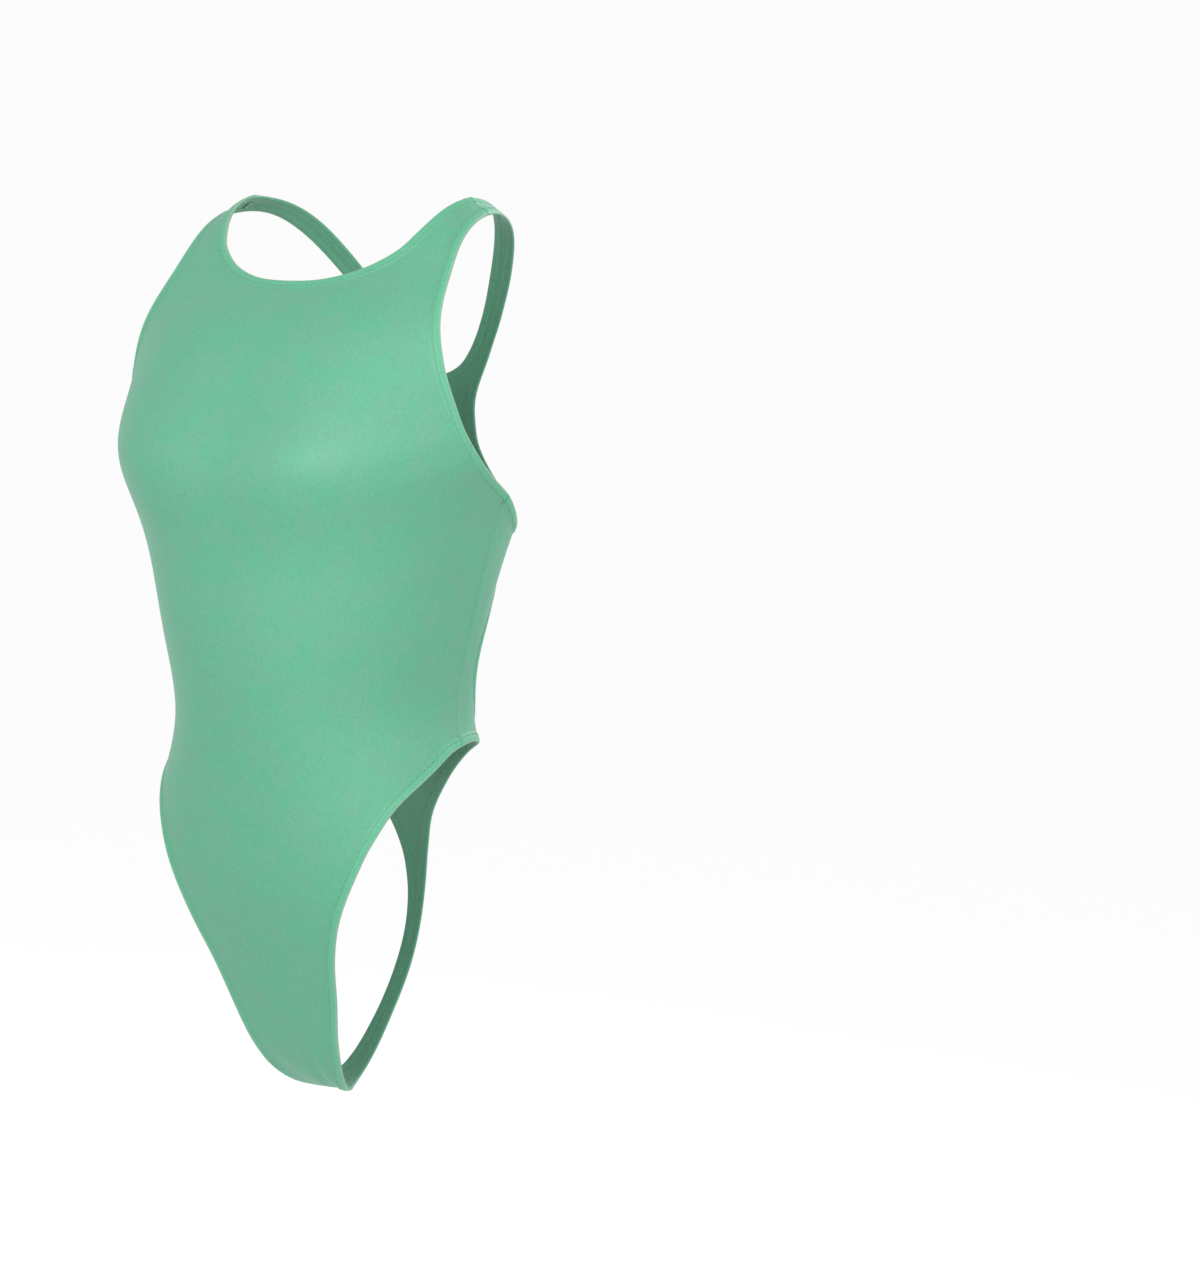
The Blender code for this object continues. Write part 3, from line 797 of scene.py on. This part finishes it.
FRONT_CREASES = [
    Crease(11.30, 5.5, 12.15, 4.6, 0.0026, -0.0012),
    Crease(11.35, 8.6, 12.10, 6.8, 0.0034, 0.0012),
    Crease(11.40, -11.0, 12.10, 3.2, 0.0038, -0.0010),
    Crease(11.55, -12.5, 12.10, -2.0, 0.0030, 0.0008),
    Crease(3.05, 66.0, 3.75, 42.0, 0.0095, -0.0008),
    Crease(3.10, -66.0, 3.70, -44.0, 0.0090, -0.0007),
    Crease(7.35, 82.0, 7.95, 52.0, 0.0085, -0.0006),
    Crease(7.40, -82.0, 8.00, -55.0, 0.0080, -0.0006),
    Crease(5.10, 86.0, 5.40, 52.0, 0.0110, -0.0006),
    Crease(5.85, -86.0, 5.60, -50.0, 0.0120, -0.0007),
    Crease(6.60, 84.0, 6.45, 58.0, 0.0090, -0.0005),
]
front_neck = both_sides(NECK_FRONT)
front_half = [
    seam(NECK_FRONT[-2], ARM_FRONT[1]),
    cut_edge(ARM_FRONT, 1, len(ARM_FRONT) - 2),
    seam(ARM_FRONT[-2], LEG_FRONT[1]),
    cut_edge(LEG_FRONT, 1, len(LEG_FRONT) - 2),
]
front_crotch = seam(LEG_FRONT[-2], (LEG_FRONT[-2][0], -LEG_FRONT[-2][1]))
front_edges = [
    cut_edge(front_neck, 1, len(front_neck) - 2),
    *whole_loop(front_half, front_crotch),
]
front_panel = Panel(front_edges, 0, FRONT_CREASES)
front_cloth = knit_panel("front_cloth", front_panel, jersey)
front_stitches = hem_stitches("front_stitches", front_panel)
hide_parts("front_panel")
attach(front_cloth, "root")
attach(front_stitches, "root")

# Back racer
# Two back straps that run into one narrow plate between the shoulder blades, cut as one piece of
# the same knit. It is sewn to the front on the shoulders and to the lower back at two joins.

# The neck, the arm edge and the opening of the lower back. The racer ends at one numbered point
# of the arm edge and one of the opening, where the lower back goes on.
NECK_BACK = [
    (21.68, 0), (21.76, 7.5), (21.94, 12.2), (22.30, 17.2), (22.72, 21.8), (23.14, 25.7),
    (23.77, 30.2), (24.12, 31.0), (24.40, 31.0),
]
ARM_BACK = [
    (24.61, 40.4), (24.12, 37.5), (23.80, 35.6), (23.27, 33.0), (22.78, 29.4), (22.33, 24.7),
    (21.93, 20.6), (21.48, 18.6), (21.05, 24.2), (20.62, 31.5), (20.22, 40.0), (19.75, 52.3),
    (19.57, 67.4), (19.70, 77), (20.14, 90), (20.60, 101),
]
ARM_JOIN = 10
OPENING = [
    (20.51, 0), (20.46, 9), (20.36, 17), (20.08, 27), (19.82, 34.8), (19.50, 45), (19.07, 57),
    (18.48, 70), (17.92, 76), (17.40, 72), (16.91, 58), (16.45, 39.5), (16.16, 25), (15.96, 12),
    (15.89, 0),
]
OPENING_JOIN = 4
RACER_CREASES = [
    Crease(22.10, 17.0, 21.20, 12.0, 0.0060, -0.0004),
    Crease(22.10, -17.0, 21.25, -11.0, 0.0065, -0.0004),
    Crease(20.75, 22.0, 20.15, 33.0, 0.0060, 0.0004),
    Crease(20.75, -22.0, 20.15, -33.0, 0.0055, 0.0004),
]

# Inside each seam the two raw edges are overlocked together, 5 mm wide, and pressed to the
# back's side. Each strip runs from hem to hem. Its profile is in shares of its width and depth.
STRIP_STEP = 0.0025
STRIP_FROM, STRIP_TO = 0.0003, ALLOWANCE
STRIP_THICK = 0.0008
STRIP_CLEAR = 0.00005
STRIP_PROFILE = [(0, 0), (0.02, 0.75), (0.12, 1), (0.9, 1), (1, 0.8), (1.03, 0.35), (1, 0)]
LINE_FINER = 8
OVERLOCK_STEP = 0.0011
OVERLOCK_FROM = 0.0009
PAST_HEMS = 0.02


def seam_middle(edge, step):
    """A seam's line between its two hems."""
    line = evenly(edge.line, step / LINE_FINER)
    gone = np.linalg.norm(np.diff(form(line), axis=0), axis=1)
    gone = np.concatenate([[0], np.cumsum(gone)])
    stops = np.linspace(HEM_WIDTH, gone[-1] - HEM_WIDTH, max(3, round(gone[-1] / step)))
    return np.stack([np.interp(stops, gone, line[:, k]) for k in (0, 1)], -1)


def allowance_strips(name, panel, seams):
    """The overlocked seam allowances of a panel's seams."""
    turn = turn_of(panel.edges)
    points, faces, laid = [], [], []
    for edge in seams:
        line = seam_middle(edge, STRIP_STEP)
        way = into_panel(line, turn)
        rows, sides = len(line), len(STRIP_PROFILE)
        first = sum(len(part) for part in points)
        for i, (across, deep) in enumerate(STRIP_PROFILE):
            row = moved(line, way, STRIP_FROM + (STRIP_TO - STRIP_FROM) * across)
            points.append(form(row) - outward(row) * (STRIP_CLEAR + STRIP_THICK * deep))
            laid.append(flat(row))
            a, b = first + i * rows, first + (i + 1) % sides * rows
            faces += [(a + k, a + k + 1, b + k + 1, b + k) for k in range(rows - 1)]
        ends = [first + i * rows for i in range(sides)]
        faces += [ends, [end + rows - 1 for end in reversed(ends)]]
    points, laid = np.vstack(points), np.vstack(laid)
    mesh = bpy.data.meshes.new(name)
    mesh.from_pydata(points.tolist(), [], faces)
    lay_out(mesh, laid)
    note(mesh, "edge_gap", "FLOAT", np.full(len(points), PAST_HEMS))
    note(mesh, "worn_out", "FLOAT", np.zeros(len(points)))
    shell = bmesh.new()
    shell.from_mesh(mesh)
    bmesh.ops.recalc_face_normals(shell, faces=shell.faces)
    shell.to_mesh(mesh)
    shell.free()
    return new_piece(name, mesh, jersey)


def overlock_runs(panel, seams):
    """The overlock's thread, back and forth across each strip."""
    for edge in seams:
        line = seam_middle(edge, OVERLOCK_STEP)
        across = np.where(np.arange(len(line)) % 2, OVERLOCK_FROM, STRIP_TO)
        row = moved(line, into_panel(line, turn_of(panel.edges)), across[:, None])
        yield form(row) - outward(row) * (STRIP_CLEAR + STRIP_THICK), -outward(row)


racer_neck = both_sides(NECK_BACK)
racer_arch = both_sides(OPENING[: OPENING_JOIN + 2])[::-1]
racer_half = [
    seam(NECK_BACK[-2], ARM_BACK[1]),
    cut_edge(ARM_BACK, 1, ARM_JOIN),
    seam(ARM_BACK[ARM_JOIN], OPENING[OPENING_JOIN]),
]
racer_edges = [
    cut_edge(racer_neck, 1, len(racer_neck) - 2),
    *whole_loop(racer_half, cut_edge(racer_arch, 1, len(racer_arch) - 2)),
]
racer_panel = Panel(racer_edges, 1, RACER_CREASES)
racer_cloth = knit_panel("racer_cloth", racer_panel, jersey)
shoulder_seams = [racer_edges[1], racer_edges[-1]]
racer_sewing = [
    hem_stitches("racer_stitches", racer_panel),
    thread_piece("shoulder_overlock", overlock_runs(racer_panel, shoulder_seams)),
]
shoulder_allowances = allowance_strips("shoulder_allowances", racer_panel, shoulder_seams)
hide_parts("back_racer")
for piece in (racer_cloth, shoulder_allowances, *racer_sewing):
    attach(piece, "root")

# Lower back
# Two side wings, the two bands under the open back and the narrow strip down to the crotch, cut
# as one piece and sewn to the front at the sides and under the crotch.
LEG_BACK = [
    (11.8, 10.3), (12.1, 6.5), (12.45, 3.6), (13.07, 2.7), (13.7, 2.7), (14.18, 2.9),
    (14.6, 4.0), (15.0, 6.9), (15.40, 13.8), (15.85, 29.5), (16.38, 51), (16.60, 68),
    (16.67, 80), (16.62, 90), (16.47, 100.5),
]
LOWER_CREASES = [
    Crease(15.55, 4.0, 14.75, 1.0, 0.0050, 0.0005),
    Crease(15.45, -5.0, 14.80, -1.5, 0.0050, 0.0004),
    Crease(16.10, 52.0, 16.35, 74.0, 0.0050, -0.0004),
    Crease(16.15, -50.0, 16.40, -72.0, 0.0055, -0.0004),
    Crease(19.60, 78.0, 18.80, 84.0, 0.0080, -0.0006),
    Crease(19.55, -79.0, 18.75, -84.0, 0.0080, -0.0006),
]
lower_opening = OPENING[OPENING_JOIN - 1 :]
lower_opening = mirrored(lower_opening[:-1])[::-1] + lower_opening[::-1]
lower_half = [
    seam(OPENING[OPENING_JOIN], ARM_BACK[ARM_JOIN]),
    cut_edge(ARM_BACK, ARM_JOIN, len(ARM_BACK) - 2),
    seam(ARM_BACK[-2], LEG_BACK[-2]),
    cut_edge(LEG_BACK[::-1], 1, len(LEG_BACK) - 2),
]
lower_crotch = seam(LEG_BACK[1], (LEG_BACK[1][0], -LEG_BACK[1][1]))
lower_edges = [
    cut_edge(lower_opening, 1, len(lower_opening) - 2),
    *whole_loop(lower_half, lower_crotch),
]
lower_panel = Panel(lower_edges, 1, LOWER_CREASES)
lower_cloth = knit_panel("lower_cloth", lower_panel, jersey)
lower_seams = [edge for edge in lower_edges if edge.is_seam]
lower_sewing = [
    hem_stitches("lower_stitches", lower_panel),
    thread_piece("lower_overlock", overlock_runs(lower_panel, lower_seams)),
]
lower_allowances = allowance_strips("lower_allowances", lower_panel, lower_seams)
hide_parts("back_lower")
for piece in (lower_cloth, lower_allowances, *lower_sewing):
    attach(piece, "root")

# Floor
# A plain pale floor, far below the worn garment. It gives back a little light of its own, so that
# far away it is as white as the surround.
SURROUND = 0.97
FLOOR_HEIGHT = -1.42
FLOOR_RADIUS = 40.0
FLOOR_CORNERS = 128
FLOOR_SHADE = 0.5
bpy.ops.mesh.primitive_circle_add(
    vertices=FLOOR_CORNERS, radius=FLOOR_RADIUS, fill_type="NGON", location=(0, 0, FLOOR_HEIGHT)
)
floor = bpy.context.object
floor.name = "floor"
floor_paint = bpy.data.materials.new("floor_white")
floor_paint.use_nodes = True
floor_shader = floor_paint.node_tree.nodes["Principled BSDF"]
floor_shader.inputs["Base Color"].default_value = (FLOOR_SHADE, FLOOR_SHADE, FLOOR_SHADE, 1)
floor_shader.inputs["Roughness"].default_value = 1.0
floor_shader.inputs["Specular IOR Level"].default_value = 0.0
floor_shader.inputs["Emission Color"].default_value = (1, 1, 1, 1)
floor_shader.inputs["Emission Strength"].default_value = (1 - FLOOR_SHADE) * SURROUND
floor.data.materials.append(floor_paint)

# Light
# An even white surround, a large soft light from the front and above, a weaker one from the
# garment's left and one from behind.
Lamp = namedtuple("Lamp", "name place size power")
LAMPS = [
    Lamp("key_light", (0.42, -1.93, 0.45), 1.0, 37),
    Lamp("side_light", (2.16, -0.29, 0.13), 1.4, 21),
    Lamp("back_light", (0.40, 2.40, 0.90), 1.8, 34),
]
LIGHT_AIM = Vector((0, 0, -0.3))
for lamp in LAMPS:
    light = bpy.data.lights.new(lamp.name, "AREA")
    light.shape = "DISK"
    light.size = lamp.size
    light.energy = lamp.power
    holder = bpy.data.objects.new(lamp.name, light)
    holder.location = lamp.place
    holder.rotation_euler = (LIGHT_AIM - Vector(lamp.place)).to_track_quat("-Z", "Y").to_euler()
    bpy.context.scene.collection.objects.link(holder)
world = bpy.data.worlds.new("white_surround")
world.use_nodes = True
world.node_tree.nodes["Background"].inputs["Color"].default_value = (1, 1, 1, 1)
world.node_tree.nodes["Background"].inputs["Strength"].default_value = SURROUND
bpy.context.scene.world = world
bpy.context.scene.view_settings.view_transform = "Standard"

# Camera
# It looks from the front and the garment's left, nearly level, as the photograph does, and it is
# turned so that the garment stands in the same place in the frame.
VIEW_AZIMUTH = np.radians(37.06)
VIEW_ELEVATION = np.radians(5.46)
VIEW_DISTANCE = 2.3
VIEW_TARGET = Vector((0, -0.012, -0.323))
VIEW_ROLL = np.radians(2.04)
FRAME_WIDTH, FRAME_HEIGHT = 1200, 1281
TARGET_X, TARGET_Y = 339.6, 652.2
PIXELS_PER_METRE = 1370.9
SENSOR = 36.0
camera_data = bpy.data.cameras.new("camera")
camera = bpy.data.objects.new("camera", camera_data)
bpy.context.scene.collection.objects.link(camera)
back_to_camera = Vector((
    np.sin(VIEW_AZIMUTH) * np.cos(VIEW_ELEVATION),
    -np.cos(VIEW_AZIMUTH) * np.cos(VIEW_ELEVATION),
    np.sin(VIEW_ELEVATION),
))
focal = PIXELS_PER_METRE * VIEW_DISTANCE
aside = Vector((TARGET_X - FRAME_WIDTH / 2, FRAME_HEIGHT / 2 - TARGET_Y, -focal)).normalized()
look = (-back_to_camera).to_track_quat("-Z", "Y").to_matrix()
aim = aside.rotation_difference(Vector((0, 0, -1))).to_matrix()
turned = look @ Matrix.Rotation(VIEW_ROLL, 3, "Z") @ aim
camera.matrix_world = Matrix.LocRotScale(VIEW_TARGET + back_to_camera * VIEW_DISTANCE, turned, None)
camera_data.sensor_width = SENSOR
camera_data.lens = SENSOR * focal / FRAME_HEIGHT
bpy.context.scene.camera = camera
